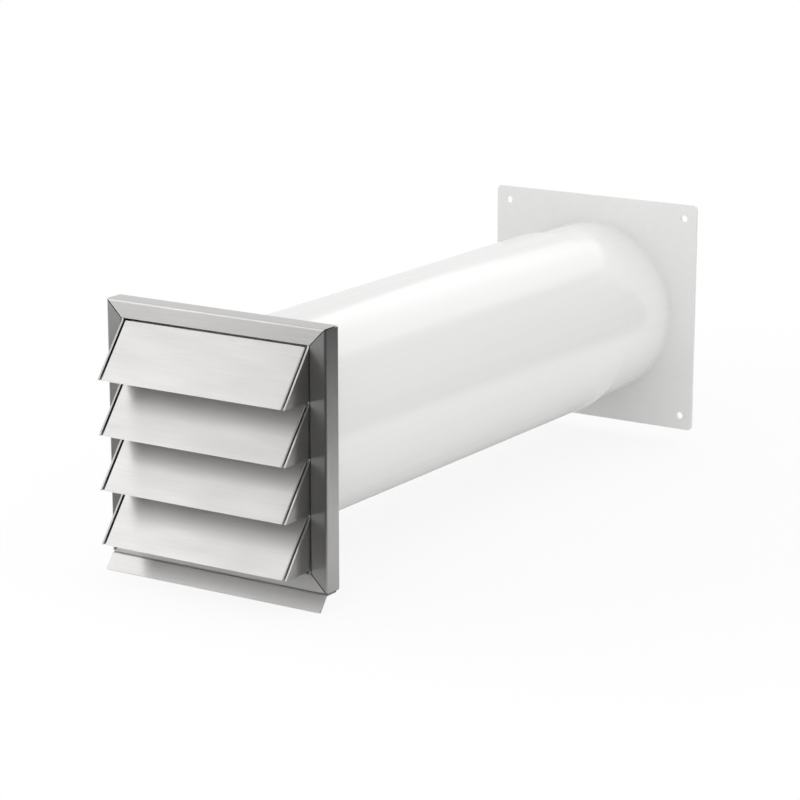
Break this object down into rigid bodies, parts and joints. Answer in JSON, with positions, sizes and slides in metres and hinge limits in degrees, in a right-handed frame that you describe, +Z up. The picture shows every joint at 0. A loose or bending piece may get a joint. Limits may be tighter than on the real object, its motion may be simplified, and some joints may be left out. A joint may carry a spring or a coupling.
{
  "type": "wall vent sleeve",
  "caption": "Through-wall vent: square steel louvre grille with a drip lip, round plastic sleeve, and a square wall plate whose spigot slides in the sleeve to suit the wall.",
  "frame": {"origin": "middle of the wall plate's screw pattern, on the duct's axis, on the plate's wall side", "axes": "+Y along the duct from the grille to the room, +Z up, +X to the right seen from outside"},
  "size_m": [0.189, 0.5643, 0.1982],
  "materials": {
    "brushed_stainless": "brushed",
    "white_plastic": "glossy"
  },
  "bodies": {
    "wall_side": {"wall_plate": "white_plastic"},
    "grille_side": {"frame_top": "brushed_stainless", "frame_right": "brushed_stainless", "frame_bottom": "brushed_stainless", "frame_left": "brushed_stainless", "cheek_left": "brushed_stainless", "cheek_right": "brushed_stainless", "slat_1": "brushed_stainless", "slat_2": "brushed_stainless", "slat_3": "brushed_stainless", "slat_4": "brushed_stainless", "drip_lip": "brushed_stainless", "back_plate": "brushed_stainless", "collar": "brushed_stainless", "sleeve": "white_plastic"}
  },
  "joints": [
    {"name": "sleeve_slide", "type": "slide", "parent": "wall_side", "child": "grille_side", "axis": [0, -1, 0], "range_m": [-0.077, 0.04]}
  ]
}
